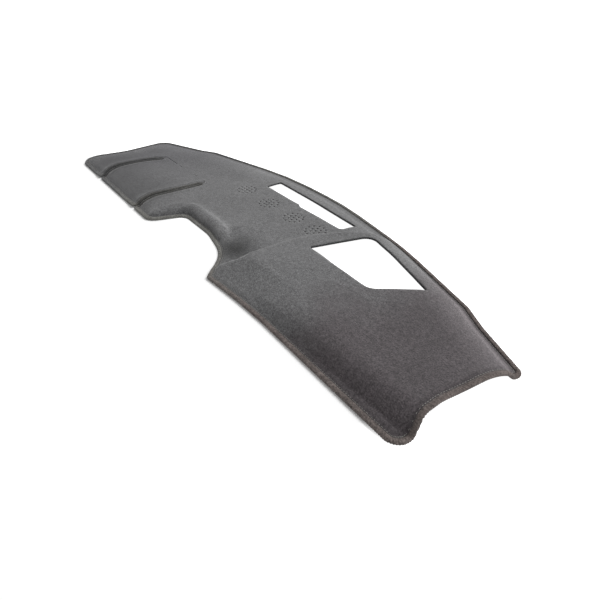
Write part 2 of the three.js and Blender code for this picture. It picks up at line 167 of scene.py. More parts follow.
# Relief of the middle layer above its rim
RIM = HALF_BINDING
CROWN = 18
FRONT_ROLL = 62
NOTCH_ROLL = 27
BACK_ROLL = 110
END_ROLL = 110
HOOD_RISE = 18
HOOD_FAR = 205
HOOD_TOE = 34
HOOD_TOE_FROM = 82
HOOD_TOE_LENGTH = 56
HOOD_WALL = 26
HOOD_TOE_WALL = 13
HOOD_WALL_SPREAD = 12
HOOD_BEND_FROM = 160
HOOD_BEND = 0.0023
HOOD_LIP = 62
HOOD_END_LIP = 30
HOOD_ROUND = 0.65
FOOT_EASE = 0.6
HOOD_SLOPE = 68
SLOPE_EASE = 0.08
HOOD_SLOPE_FROM = 30
HOOD_SLOPE_LENGTH = 200
HOOD_FLANGE = 20
HOOD_BACK_ROLL = 66
HOOD_END_ROLL = 96
CREASE_Y = 78
CREASE_DROP = 5
CREASE_LENGTH = 250
POCKET_SHARE = 0.85
POCKET_FAR = 44
POCKET_SLOPE = 30
POCKET_REAR = 82
POCKET_FADE = 80
BROW_RISE = 5
BROW_AT = 25
BROW_WIDTH = 12
BROW_END = 130

# Painted light and shade: painted shade on the pile in the hollow, beside the binding and on the tabs,
# painted highlights on the brow, the hood's fold, the near lip and the rear roll, painted shade on the
# yarn inside the slits, and the yarn's own lightness
HOLLOW_AT = (122, 92)
HOLLOW_REACH = (74, 66)
HOLLOW_SHADE = 0.85
BROW_LIGHT = 0.3
BROW_LIGHT_AT = 33
BROW_LIGHT_WIDTH = 14
BROW_LIGHT_ENDS = (-95, 96)
BROW_LIGHT_FADE = 28
CREASE_SHADE = 0.3
TAB_CREASE_SHADE = 0.08
CREASE_WIDTH = 4.2
CREASE_AT = 10.5
TAB_SHADE = 0.42
TAB_SHADE_X = (-170, -240)
TAB_SHADE_Y = (30, 190)
FOLD_LIGHT = 0.12
FOLD_WIDTH = 5
FOLD_END = 330
LIP_LIGHT = 0.35
LIP_LIGHT_WIDTH = 14
REAR_LIGHT = 0.35
REAR_LIGHT_AT = 24
REAR_LIGHT_WIDTH = 16
REAR_LIGHT_FROM = 380
REAR_LIGHT_LENGTH = 90
SLIT_SHADE = 0.55
YARN_LIGHT = 1.12
HOLLOW_WALL_POWER = 4

# Unevenness of the cloth, a sum of waves that run every way
WAVE_COUNT = 16
WAVE_LENGTHS = (70, 260)
WAVE_SLOPE = 0.006
WAVE_SEED = 7

# Curl of the tabs beside the slits, and the seam that the binding's stitches draw in
TAB_LIFT = 3.5
TAB_LIFT_WIDTH = 45
TAB_LIFT_FROM = 20
SEAM_PINCH = 1.0
SEAM_PUFF = 0.8
SEAM_PUFF_AT = 7
SEAM_WIDTH = 5

# Fineness of the meshes
MESH_STEP = 4.3
EDGE_STEP = 3.2
ARC_STEP = 0.12
ARC_ROOM = 0.49
SLOPE_STEP = 0.5
NEARLY = 1e-4
METRE = 0.001

# Overlock yarn of the binding and its row of stitches
YARN_PITCH = 4.0
YARN_STEPS = 4
YARN_DEPTH = 0.75
YARN_UNEVEN = 0.55
YARN_SHARPNESS = 1.5
YARN_SEED = 3
YARN_SLANT = 0.22
STITCH_PITCH = 5.2
STITCH_LENGTH = 3.4
STITCH_THICK = 1.0
STITCH_RISE = 0.45
STITCH_IN = 9.4
STITCH_SIDES = 6

# Cloth: range of the noise that counts, its roughness, and the patches that break up the ends' tints,
# which are partly painted shade
NOISE_RANGE = (0.3, 0.7)
NOISE_ROUGHNESS = 0.6
PATCH_SCALE = 11
PATCH_DRIFT = 0.28
SPECULAR = 0.2
SHEEN_ROUGHNESS = 0.5
FIBRE_DEPTH = 0.001

# Camera at the photo's angle
CAMERA_AT = (0.97485, -0.58335, 0.538)
CAMERA_TURN = (55.55, 0, 53.786)
LENS = 30
SENSOR = 36

# Light
SUN_TURN = (38, 0, 152)
SUN_SOFTNESS = 35
SUN_STRENGTH = 2.3
WORLD_STRENGTH = 0.42
FLOOR_WHITE = 0.95
FLOOR_REACH = 12
# floor glow for rays that show the background: low on the cabin side, where the floor keeps the shadow,
# and full towards the windscreen edge and past the near end, where it is painted light that clears the
# shadow
GLOW_CABIN = 0.08
GLOW_REAR = 1.0
GLOW_X = (0.62, 0.7)
GLOW_Y = (-0.2, -0.1)


def smooth(t):
    """0 up to t = 0 and 1 from t = 1 on, with an eased step between."""
    s = np.clip(t, 0, 1)
    return s * s * (3 - 2 * s)


def lerp(a, b, t):
    """From a at t = 0 to b at t = 1."""
    return a + (b - a) * t


def bell(past, width):
    """1 where past is 0, falling off to both sides over about this width."""
    return np.exp(-((past / width) ** 2))


def roll_up(distance, width):
    """0 on the flat rim and 1 from the roll's width inwards, round in between."""
    past = distance - RIM_FLAT
    t = np.clip(past / width, 0, 1)
    return (1 - (1 - t) ** 2) * smooth(past / (width * RIM_EASE))


def slope_up(past):
    """0 at the rim and 1 from the slope's width inwards, straight with eased ends."""
    t = past / HOOD_SLOPE
    return (softened(t) - softened(t - 1)).clip(0, 1)


def lip_up(past, along):
    """0 at the rim and 1 from the lip's width inwards, rounder at its far end than at its near end."""
    width = lerp(HOOD_LIP, HOOD_END_LIP, along)
    ease = lerp(RIM_EASE, FOOT_EASE, along)
    t = np.clip(past / width, 0, 1)
    fall = (1 - t) ** 2
    up = lerp(1 - fall, np.sqrt(1 - fall), HOOD_ROUND * (1 - along))
    return up * smooth(past / (width * ease))


def softened(t):
    """t where it is positive and 0 elsewhere, with an eased knee."""
    return (t + np.sqrt(t * t + SLOPE_EASE**2)) / 2


def arc(start, corner, end, half):
    """Points of the arc from start to end, tangent to the lines that meet at the corner."""
    radius = np.linalg.norm(start - corner) * math.tan(half)
    bisector = (start + end) / 2 - corner
    centre = corner + bisector * radius / math.sin(half) / np.linalg.norm(bisector)
    spoke = start - centre
    other = end - centre
    turn = math.atan2(spoke[0] * other[1] - spoke[1] * other[0], spoke @ other)
    steps = max(1, math.ceil(abs(turn) / ARC_STEP))
    angles = turn * np.arange(steps + 1) / steps
    across = np.array((-spoke[1], spoke[0]))
    return centre + np.outer(np.cos(angles), spoke) + np.outer(np.sin(angles), across)


def rounded(corners, closed):
    """Line through corners (x, y, radius), each rounded where its neighbours leave room."""
    places = np.array([c[:2] for c in corners], float)
    count = len(corners)
    line = []
    for i, corner in enumerate(places):
        before = places[i - 1] - corner
        after = places[(i + 1) % count] - corner
        lengths = np.linalg.norm(before), np.linalg.norm(after)
        half = math.acos(np.clip(before @ after / (lengths[0] * lengths[1]), -1, 1)) / 2
        cut = min(corners[i][2] / math.tan(half), ARC_ROOM * min(lengths))
        is_end = not closed and i in (0, count - 1)
        if cut < 1e-6 or is_end:
            line.append(corner[None])
            continue
        start = corner + before * cut / lengths[0]
        end = corner + after * cut / lengths[1]
        line.append(arc(start, corner, end, half))
    return np.vstack(line)


def distance_to(line, x, y):
    """Distance of places to a line, negative on the line's right."""
    nearest = np.full(np.shape(x), np.inf)
    side = np.ones(np.shape(x))
    for a, b in zip(line[:-1], line[1:]):
        dx, dy = b - a
        along = ((x - a[0]) * dx + (y - a[1]) * dy) / (dx * dx + dy * dy)
        t = np.clip(along, 0, 1)
        away = np.hypot(x - a[0] - t * dx, y - a[1] - t * dy)
        closer = away < nearest
        nearest = np.where(closer, away, nearest)
        side = np.where(closer, np.sign(dx * (y - a[1]) - dy * (x - a[0])), side)
    return np.where(side < 0, -nearest, nearest)


# Corners of the plan, going round with the carpet on the left
far_front = (FAR_END, FRONT, FAR_CORNER)
far_waist = (FAR_END + FAR_WAIST, FAR_DEPTH / 2, FAR_DEPTH / 2)
far_back = (FAR_END, FAR_DEPTH, FAR_BACK_CORNER)
near_front = (NEAR_END - NEAR_SLANT, FRONT - NEAR_FRONT_DROP, NEAR_CORNER)
near_waist = (NEAR_END - NEAR_WAIST, NEAR_WAIST_AT, NEAR_WAIST_AT)
near_back = (NEAR_END, NEAR_DEPTH, NEAR_BACK_CORNER)
notch_flat_end = NOTCH_FAR + NOTCH_SLANT + NOTCH_FLAT
notch = (
    (NOTCH_FAR, FRONT, NOTCH_CORNER),
    (NOTCH_FAR + NOTCH_SLANT, NOTCH_DEPTH, NOTCH_CORNER),
    (notch_flat_end, NOTCH_DEPTH, NOTCH_BEND),
    (NOTCH_NEAR - NOTCH_BREAK, NOTCH_DEPTH - NOTCH_BREAK_DROP, NOTCH_BEND),
    (NOTCH_NEAR, FRONT - TIP_DROP, TIP_RADIUS),
)
hood_front = (NOTCH_NEAR + HOOD_FRONT_WAIST_AT, FRONT + HOOD_FRONT_WAIST, ARC_RADIUS)
near_step = (NEAR_END - NEAR_STEP, NEAR_DEPTH + NEAR_STEP_RISE, STEP_RADIUS)
far_step = (FAR_END + FAR_STEP, DEPTH - FAR_STEP_DROP, STEP_RADIUS)
back = (
    near_back,
    near_step,
    (near_step[0] - NEAR_STEP_LENGTH, near_step[1] + NEAR_STEP_DROP, STEP_RADIUS),
    (NEAR_END - ARC_BREAK, DEPTH - ARC_BREAK_DROP, ARC_RADIUS),
    (NEAR_END - ARC_NEAR, DEPTH, ARC_RADIUS),
    (FAR_END + ARC_FAR, DEPTH, ARC_RADIUS),
    far_step,
    (far_step[0] - FAR_STEP_LENGTH, far_step[1] - FAR_STEP_RISE, STEP_RADIUS),
    far_back,
)
front_line = rounded((far_front, *notch, hood_front, near_front), closed=False)
hood_line = rounded((notch[0], hood_front, near_front), closed=False)
back_line = rounded(back, closed=False)
far_line = rounded((far_back, far_waist, far_front), closed=False)


def inlet(x, bow):
    """A slit as an inlet of the outline: up its far side, round its end and back."""
    t = np.arange(SLIT_STEPS + 1) / SLIT_STEPS
    middle_x = x - 4 * bow * t * (1 - t)
    y = lerp(FRONT, SLIT_DEPTH, t)
    half = SLIT_WIDTH / 2
    radii = np.full(len(t), float(SLIT_BEND))
    radii[0] = SLIT_MOUTH
    radii[-1] = half * ROUND_SHARE
    up = list(zip(middle_x - half, y, radii))
    down = list(zip(middle_x + half, y, radii))
    return up + down[::-1]


outline = rounded(
    (
        far_front,
        *inlet(SLIT_FAR, SLIT_BOW),
        *inlet(SLIT_NEAR, 0),
        *notch,
        hood_front,
        near_front,
        near_waist,
        *back,
        far_waist,
    ),
    closed=True,
)


def hood_side(x, y):
    """Share of the hood's height at a place: 0 beside it and 1 on it, with a wall between."""
    bend = HOOD_BEND * np.maximum(0, y - HOOD_BEND_FROM) ** 2
    toe = smooth((HOOD_TOE_FROM - y) / HOOD_TOE_LENGTH)
    crest = HOOD_FAR + bend - HOOD_TOE * toe
    wall = lerp(HOOD_WALL, HOOD_TOE_WALL, toe) + HOOD_WALL_SPREAD * smooth((y - CREASE_Y) / HOOD_BEND_FROM)
    return smooth((x - crest + wall) / wall)


def crease_drop(x, y):
    """Fall of the hood's top from its crease to the cabin edge, which fades along it."""
    fade = 1 - smooth((x - HOOD_FAR - CREASE_LENGTH / 2) / CREASE_LENGTH)
    return CREASE_DROP * fade * np.maximum(0, 1 - y / CREASE_Y)


def pocket(x, y):
    """Share by which the carpet sinks between the notch and the hood's wall."""
    far = smooth((x - POCKET_FAR) / POCKET_SLOPE)
    rear = 1 - smooth((y - POCKET_REAR) / POCKET_FADE)
    return POCKET_SHARE * far * rear


def tab_lift(x, y):
    """How far the near edge of each tab curls up beside a slit."""
    share = np.clip((y - FRONT) / (SLIT_DEPTH - FRONT), 0, 1)
    fade = 1 - smooth((y - TAB_LIFT_FROM) / (SLIT_DEPTH - TAB_LIFT_FROM))
    total = 0
    for slit, bow in ((SLIT_FAR, SLIT_BOW), (SLIT_NEAR, 0)):
        past = slit - 4 * bow * share * (1 - share) - x
        total = total + np.where(past < 0, 0, smooth(1 - past / TAB_LIFT_WIDTH))
    return TAB_LIFT * fade * total


def brow(x, front_distance):
    """Raised roll along the notch."""
    far = smooth((x - NOTCH_FAR) / NOTCH_SLANT)
    near = 1 - smooth((x - NOTCH_NEAR + BROW_END) / NOTCH_BREAK)
    return BROW_RISE * far * near * bell(front_distance - BROW_AT, BROW_WIDTH)


def wave_set():
    """Waves as (height, rise of the phase along X and along Y, first phase)."""
    dice = random.Random(WAVE_SEED)
    waves = []
    for _ in range(WAVE_COUNT):
        length = dice.uniform(*WAVE_LENGTHS)
        heading = dice.uniform(0, 2 * math.pi)
        turn = 2 * math.pi / length
        start = dice.uniform(0, 2 * math.pi)
        waves.append((WAVE_SLOPE / turn, turn * math.cos(heading), turn * math.sin(heading), start))
    return waves


WAVES = wave_set()


def uneven(x, y):
    """Unevenness of cloth that was laid by hand."""
    return sum(height * np.sin(x * along + y * across + start) for height, along, across, start in WAVES)


def middle(x, y):
    """Height of the carpet's middle layer over places of the plan."""
    front_distance = distance_to(front_line, x, y)
    back_distance = distance_to(back_line, x, y)
    side = hood_side(x, y)
    along = np.clip((x - HOOD_FAR) / (NEAR_END - HOOD_FAR), 0, 1)
    low_roll = lerp(FRONT_ROLL, NOTCH_ROLL, smooth((x - NOTCH_FAR + NOTCH_SLANT) / NOTCH_SLANT))
    low = CROWN * (1 - pocket(x, y)) * roll_up(front_distance, low_roll)
    steep = smooth((x - HOOD_FAR - HOOD_SLOPE_FROM) / HOOD_SLOPE_LENGTH)
    hood_distance = distance_to(hood_line, x, y)
    lip = lip_up(hood_distance - RIM_FLAT - HOOD_FLANGE * along**2, along)
    slope = slope_up(hood_distance - RIM_FLAT)
    hood_front = lerp(slope, lip, steep)
    hood = (CROWN + HOOD_RISE - crease_drop(x, y)) * hood_front
    hood_back = lerp(HOOD_BACK_ROLL, HOOD_END_ROLL, along)
    rear = roll_up(back_distance, lerp(BACK_ROLL, hood_back, side))
    end = roll_up(distance_to(far_line, x, y), END_ROLL)
    top = lerp(low, hood, side) * rear * end
    return RIM + top * (1 + uneven(x, y) / CROWN) + brow(x, front_distance) + tab_lift(x, y)


def pile_shade(x, y, edge):
    """Painted light and shade on the pile at a place that is this far in from the outline's edge."""
    front_distance = distance_to(front_line, x, y)
    # painted shade in the hollow between the notch and the hood's wall, fading up the wall
    away = np.hypot((x - HOLLOW_AT[0]) / HOLLOW_REACH[0], (y - HOLLOW_AT[1]) / HOLLOW_REACH[1])
    side = hood_side(x, y)
    hollow = HOLLOW_SHADE * (1 - smooth(away)) * (1 - side**HOLLOW_WALL_POWER)
    # painted highlight along the brow's crest beside the notch
    far = smooth((x - BROW_LIGHT_ENDS[0]) / NOTCH_BREAK)
    near = smooth((BROW_LIGHT_ENDS[1] - x) / BROW_LIGHT_FADE)
    light = BROW_LIGHT * far * near * bell(front_distance - BROW_LIGHT_AT, BROW_LIGHT_WIDTH)
    # painted shade in the crease just inside the binding, faint on the tabs
    tab_x = smooth((x - TAB_SHADE_X[0]) / (TAB_SHADE_X[1] - TAB_SHADE_X[0]))
    crease = lerp(CREASE_SHADE, TAB_CREASE_SHADE, tab_x) * bell(edge - CREASE_AT, CREASE_WIDTH)
    # painted shade on the tabs, darker towards their front edge where they slope away from the light
    tab_y = smooth((y - TAB_SHADE_Y[1]) / (TAB_SHADE_Y[0] - TAB_SHADE_Y[1]))
    # painted highlight along the fold at the top of the hood's front slope, fading towards the near end
    fold_at = distance_to(hood_line, x, y) - HOOD_SLOPE - RIM_FLAT
    fold_fade = 1 - smooth((x - HOOD_FAR) / (FOLD_END - HOOD_FAR))
    fold = FOLD_LIGHT * bell(fold_at, FOLD_WIDTH) * side * fold_fade
    # painted highlight on the hood's steep front lip towards the near end
    along = np.clip((x - HOOD_FAR) / (NEAR_END - HOOD_FAR), 0, 1)
    lip_at = distance_to(hood_line, x, y) - RIM_FLAT - HOOD_FLANGE * along**2 - LIP_LIGHT_WIDTH
    lip = LIP_LIGHT * along**2 * bell(lip_at, LIP_LIGHT_WIDTH)
    # painted highlight on the roll along the windscreen edge towards the near end
    rear_at = distance_to(back_line, x, y) - REAR_LIGHT_AT
    rear = REAR_LIGHT * smooth((x - REAR_LIGHT_FROM) / REAR_LIGHT_LENGTH) * bell(rear_at, REAR_LIGHT_WIDTH)
    dark = (1 - hollow) * (1 - crease) * (1 - TAB_SHADE * tab_x * tab_y)
    return dark * (1 + light + fold + lip + rear)


def yarn_shade(x, y):
    """How light the binding's yarn is: its own lightness, with painted shade inside the slits."""
    share = np.clip((y - FRONT) / (SLIT_DEPTH - FRONT), 0, 1)
    inside_slit = 0
    for slit, bow in ((SLIT_FAR, SLIT_BOW), (SLIT_NEAR, 0)):
        across = np.abs(x - slit + 4 * bow * share * (1 - share))
        inside_slit = inside_slit + (across < 2 * SLIT_MOUTH) * smooth((y - FRONT) / SLIT_MOUTH)
    is_slit = np.clip(inside_slit, 0, 1) * (y < HINGE_LINE)
    return lerp(YARN_LIGHT, SLIT_SHADE, is_slit)


def normals(x, y):
    """Upward unit normals of the middle layer."""
    slope_x = (middle(x + SLOPE_STEP, y) - middle(x - SLOPE_STEP, y)) / (2 * SLOPE_STEP)
    slope_y = (middle(x, y + SLOPE_STEP) - middle(x, y - SLOPE_STEP)) / (2 * SLOPE_STEP)
    up = np.stack((-slope_x, -slope_y, np.ones_like(slope_x)), axis=1)
    return up / np.linalg.norm(up, axis=1)[:, None]


def slot_line():
    """Closed line round the vent's slot, with the jog in its front."""
    near = SLOT_FAR + SLOT_LENGTH
    rear = SLOT_FRONT + SLOT_WIDTH
    return rounded(
        (
            (SLOT_FAR + SLOT_LEAN, SLOT_FRONT, SLOT_SHARP),
            (SLOT_FAR + SLOT_JOG_AT, SLOT_FRONT, SLOT_JOG),
            (SLOT_FAR + SLOT_JOG_AT + 2 * SLOT_JOG, SLOT_FRONT - SLOT_JOG, SLOT_JOG),
            (near, SLOT_FRONT - SLOT_JOG, SLOT_CORNER),
            (near, rear - SLOT_TAPER, SLOT_SHARP),
            (SLOT_FAR, rear, SLOT_SHARP),
        ),
        closed=True,
    )


def cutout_line():
    """Closed line round the hood's cut-out."""
    near = CUTOUT_FAR + CUTOUT_LENGTH
    near_front_y = CUTOUT_FRONT - CUTOUT_SKEW
    return rounded(
        (
            (CUTOUT_FAR, CUTOUT_FRONT, CUTOUT_SHARP),
            (near, near_front_y, CUTOUT_CORNER),
            (near + CUTOUT_NEAR_LEAN, near_front_y + CUTOUT_NEAR_DEPTH, CUTOUT_SHARP),
            (CUTOUT_FAR + CUTOUT_FAR_LEAN, CUTOUT_FRONT + CUTOUT_FAR_DEPTH, CUTOUT_CORNER),
        ),
        closed=True,
    )


def hinge_cuts():
    """Closed lines round the flap's hinge cuts."""

    def cut_along(line):
        """Both sides of a cut of the hinge's width."""
        step = np.gradient(line, axis=0)
        across = np.stack((-step[:, 1], step[:, 0]), axis=1)
        across *= HINGE_CUT / 2 / np.linalg.norm(across, axis=1)[:, None]
        return np.vstack((line - across, (line + across)[::-1]))

    def turn(x, length):
        """A cut that goes on from a slit's end and turns along the hinge."""
        corners = (
            (x, HINGE_START, 0),
            (x, HINGE_LINE, HINGE_TURN * ROUND_SHARE),
            (x + length, HINGE_LINE, 0),
        )
        return rounded(corners, closed=False)

    def dash(x):
        """A short cut in line with the hinge."""
        return np.array(((x, HINGE_LINE), (x + HINGE_DASH, HINGE_LINE)), float)

    lines = (
        turn(SLIT_FAR, FAR_TURN_LENGTH),
        turn(SLIT_NEAR, -NEAR_TURN_LENGTH),
        dash(SLIT_FAR + HINGE_FAR_DASH),
        dash(SLIT_NEAR - HINGE_NEAR_DASH - HINGE_DASH),
    )
    return [cut_along(line) for line in lines]


def perforations():
    """Closed lines of the round holes, in rings about each cluster's centre."""
    angles = 2 * math.pi * np.arange(HOLE_SIDES) / HOLE_SIDES
    circle = HOLE / 2 * np.stack((np.cos(angles), np.sin(angles)), axis=1)
    holes = []
    for centre_x in CLUSTER_X:
        for ring in range(HOLE_RINGS + 1):
            count = max(1, HOLES_PER_RING * ring)
            for k in range(count):
                turn = 2 * math.pi * k / count
                x = centre_x + ring * HOLE_PITCH * math.cos(turn)
                y = CLUSTER_Y + ring * HOLE_PITCH * math.sin(turn)
                holes.append(circle + (x, y))
    return holes


def spaced(line, step):
    """The closed line with extra points, so that no stretch is longer than step."""
    points = []
    for a, b in zip(line, np.roll(line, -1, axis=0)):
        count = max(1, math.ceil(np.linalg.norm(b - a) / step))
        points.append(a + np.outer(np.arange(count) / count, b - a))
    points = np.vstack(points)
    apart = np.linalg.norm(points - np.roll(points, 1, axis=0), axis=1)
    return points[apart > NEARLY]


def inside(line, x, y):
    """Whether places lie inside a closed line."""
    found = np.zeros(np.shape(x), bool)
    for a, b in zip(line, np.roll(line, -1, axis=0)):
        if a[1] == b[1]:
            continue
        crosses = (a[1] > y) != (b[1] > y)
        found ^= crosses & (x < a[0] + (y - a[1]) * (b[0] - a[0]) / (b[1] - a[1]))
    return found


def grid_points(lines):
    """Places of a triangular grid inside the outline and clear of every line."""
    row_step = MESH_STEP * math.sqrt(3) / 2
    low = outline.min(axis=0)
    high = outline.max(axis=0)
    columns = np.arange(low[0], high[0], MESH_STEP)
    rows = np.arange(low[1], high[1], row_step)
    x, y = np.meshgrid(columns, rows)
    x = (x + MESH_STEP / 2 * (np.arange(len(rows)) % 2)[:, None]).ravel()
    y = y.ravel()
    kept = inside(outline, x, y)
    for line in lines:
        ring = np.vstack((line, line[:1]))
        near = (x > line[:, 0].min() - MESH_STEP) & (x < line[:, 0].max() + MESH_STEP)
        near &= (y > line[:, 1].min() - MESH_STEP) & (y < line[:, 1].max() + MESH_STEP)
        near &= kept
        away = np.abs(distance_to(ring, x[near], y[near]))
        kept[near] = away > MESH_STEP / 2
    for line in lines[1:]:
        kept &= ~inside(line, x, y)
    return np.stack((x[kept], y[kept]), axis=1)


def plan_triangles(lines):
    """Places and triangles that fill the first closed line outside the others."""
    rings = [spaced(line, EDGE_STEP) for line in lines]
    edges = []
    first = 0
    for ring in rings:
        count = len(ring)
        edges += [(first + i, first + (i + 1) % count) for i in range(count)]
        first += count
    places = np.vstack((*rings, grid_points(rings)))
    found = delaunay_2d_cdt([tuple(p) for p in places], edges, [], 0, 1e-5, False)
    places = np.array([tuple(v) for v in found[0]])
    triangles = np.array([t for t in found[2]])
    centres = places[triangles].mean(axis=1)
    kept = inside(rings[0], centres[:, 0], centres[:, 1])
    for ring in rings[1:]:
        kept &= ~inside(ring, centres[:, 0], centres[:, 1])
    triangles = triangles[kept]
    used = np.unique(triangles)
    renumbered = np.full(len(places), -1)
    renumbered[used] = np.arange(len(used))
    return places[used], renumbered[triangles]


def open_edges(triangles):
    """Directed edges that belong to one triangle only."""
    edges = np.vstack((triangles[:, [0, 1]], triangles[:, [1, 2]], triangles[:, [2, 0]]))
    keys = np.sort(edges, axis=1)
    _, index, count = np.unique(keys, axis=0, return_index=True, return_counts=True)
    return edges[index[count == 1]]


def mesh_object(name, points, faces, materials, shade, slots=None):
    """A smooth mesh object from plan points in millimetres, each with the painted light and shade of its
    cloth.
    """
    mesh = bpy.data.meshes.new(name)
    mesh.from_pydata((points * METRE).tolist(), [], [tuple(f) for f in faces])
    for material in materials:
        mesh.materials.append(material)
    if slots is not None:
        mesh.polygons.foreach_set("material_index", slots)
    mesh.polygons.foreach_set("use_smooth", np.ones(len(mesh.polygons), bool))
    mesh.attributes.new("shade", "FLOAT", "POINT").data.foreach_set("value", shade)
    mesh.update()
    made = bpy.data.objects.new(name, mesh)
    bpy.context.scene.collection.objects.link(made)
    return made


def carpet_sheet(materials):
    """The carpet: pile on top, backing below and on the cut walls."""
    lines = [outline, slot_line(), cutout_line(), *hinge_cuts(), *perforations()]
    places, triangles = plan_triangles(lines)
    x, y = places.T
    up = normals(x, y)
    base = np.stack((x, y, middle(x, y)), axis=1)
    edge = np.abs(distance_to(np.vstack((outline, outline[:1])), x, y))
    past = edge - STITCH_IN
    puff = SEAM_PUFF * bell(past - SEAM_PUFF_AT, SEAM_WIDTH) - SEAM_PINCH * bell(past, SEAM_WIDTH)
    top = base + up * (CARPET / 2 + puff)[:, None]
    below = base - up * (CARPET / 2)
    count = len(places)
    rim = open_edges(triangles)
    walls = np.vstack((
        np.stack((rim[:, 1], rim[:, 0], rim[:, 0] + count), axis=1),
        np.stack((rim[:, 1], rim[:, 0] + count, rim[:, 1] + count), axis=1),
    ))
    faces = np.vstack((triangles, triangles[:, ::-1] + count, walls))
    slots = np.ones(len(faces), np.int32)
    slots[: len(triangles)] = 0
    # painted light and shade on the pile's top; the backing gets none
    shade = np.concatenate((pile_shade(x, y, edge), np.ones(count)))
    return mesh_object("carpet", np.vstack((top, below)), faces, materials, shade, slots)


def along_outline(step):
    """Arc lengths at an even step, and a function from arc lengths to places on the outline."""
    ring = spaced(outline, EDGE_STEP)
    ahead = np.roll(ring, -1, axis=0) - ring
    lengths = np.linalg.norm(ahead, axis=1)
    ahead /= lengths[:, None]
    at_points = ahead + np.roll(ahead, 1, axis=0)
    outward = np.stack((at_points[:, 1], -at_points[:, 0]), axis=1)
    outward /= np.linalg.norm(outward, axis=1)[:, None]
    total = lengths.sum()
    marks = np.concatenate(([0], np.cumsum(lengths)))
    closed_ring = np.vstack((ring, ring[:1]))
    closed_out = np.vstack((outward, outward[:1]))

    def at(lengths_along):
        """Places and outward directions at arc lengths."""
        s = np.mod(lengths_along, total)
        place = np.stack([np.interp(s, marks, closed_ring[:, k]) for k in (0, 1)], axis=-1)
        out = np.stack([np.interp(s, marks, closed_out[:, k]) for k in (0, 1)], axis=-1)
        return place, out / np.linalg.norm(out, axis=-1, keepdims=True)

    count = round(total / step)
    return total * np.arange(count) / count, at


# Section of the binding [across, up], outer side first, and whether yarn shows on each point
BINDING_SECTION = np.array((
    (-BINDING_COVER, -HALF_BINDING + 0.4, 1),
    (-3.6, -HALF_BINDING, 1),
    (0.2, -HALF_BINDING + 0.2, 1),
    (1.9, -1.9, 1),
    (BINDING_PROUD, 0, 1),
    (1.9, 1.9, 1),
    (0.2, HALF_BINDING - 0.2, 1),
    (-3.6, HALF_BINDING, 1),
    (-BINDING_COVER - 0.3, HALF_BINDING - 0.7, 1),
    (-BINDING_COVER, CARPET / 2 + CLEARANCE, 0),
    (CLEARANCE, CARPET / 2 + CLEARANCE, 0),
    (CLEARANCE, -CARPET / 2 - CLEARANCE, 0),
    (-BINDING_COVER, -CARPET / 2 - CLEARANCE, 0),
))


def overlock_binding(material):
    """Overlock yarn sewn round the edge, each turn of it a rib."""
    marks, at = along_outline(YARN_PITCH / YARN_STEPS)
    count = len(marks) // YARN_STEPS * YARN_STEPS
    marks = marks[-1] * np.arange(count) / count
    sides = len(BINDING_SECTION)
    rib = np.abs(np.sin(math.pi * np.arange(count) / YARN_STEPS)) ** YARN_SHARPNESS
    turns = np.random.default_rng(YARN_SEED).uniform(1 - YARN_UNEVEN, 1 + YARN_UNEVEN, count // YARN_STEPS)
    sunk = YARN_DEPTH * rib * np.repeat(turns, YARN_STEPS)
    points = np.empty((count, sides, 3))
    middle_across = -BINDING_COVER / 2
    for k, (across, up, has_yarn) in enumerate(BINDING_SECTION):
        shift = YARN_SLANT * (across - middle_across) * has_yarn
        place, out = at(marks + shift)
        length = math.hypot(across - middle_across, up)
        inward = 1 - sunk * has_yarn / length
        section_across = middle_across + (across - middle_across) * inward
        spot = place + out * section_across[:, None]
        inner = place + out * np.minimum(section_across, -1)[:, None]
        x, y = inner.T
        base = np.stack((spot[:, 0], spot[:, 1], middle(x, y)), axis=1)
        points[:, k] = base + normals(x, y) * (up * inward)[:, None]
    ring = np.arange(count)[:, None] * sides
    ahead = (np.arange(count)[:, None] + 1) % count * sides
    k = np.arange(sides)[None]
    following = (k + 1) % sides
    quads = np.stack((ring + k, ahead + k, ahead + following, ring + following), axis=-1)
    points = points.reshape(-1, 3)
    shade = yarn_shade(points[:, 0], points[:, 1])
    return mesh_object("binding", points, quads.reshape(-1, 4), [material], shade)


def stitch_shape():
    """A short thread with round ends, along X."""
    stations = ((-1.0, 0.0), (-0.8, 0.7), (0.0, 1.0), (0.8, 0.7), (1.0, 0.0))
    sides = STITCH_SIDES
    points = [(-STITCH_LENGTH / 2, 0, 0)]
    for along, radius in stations[1:-1]:
        for k in range(sides):
            turn = 2 * math.pi * k / sides
            reach = STITCH_THICK / 2 * radius
            points.append((along * STITCH_LENGTH / 2, reach * math.cos(turn), reach * math.sin(turn)))
    points.append((STITCH_LENGTH / 2, 0, 0))
    last = len(points) - 1
    faces = []
    for k in range(sides):
        following = (k + 1) % sides
        faces.append((0, 1 + following, 1 + k))
        for ring in range(len(stations) - 3):
            a = 1 + ring * sides
            b = a + sides
            faces.append((a + k, a + following, b + following, b + k))
        end = last - sides
        faces.append((last, end + k, end + following))
    return np.array(points), faces


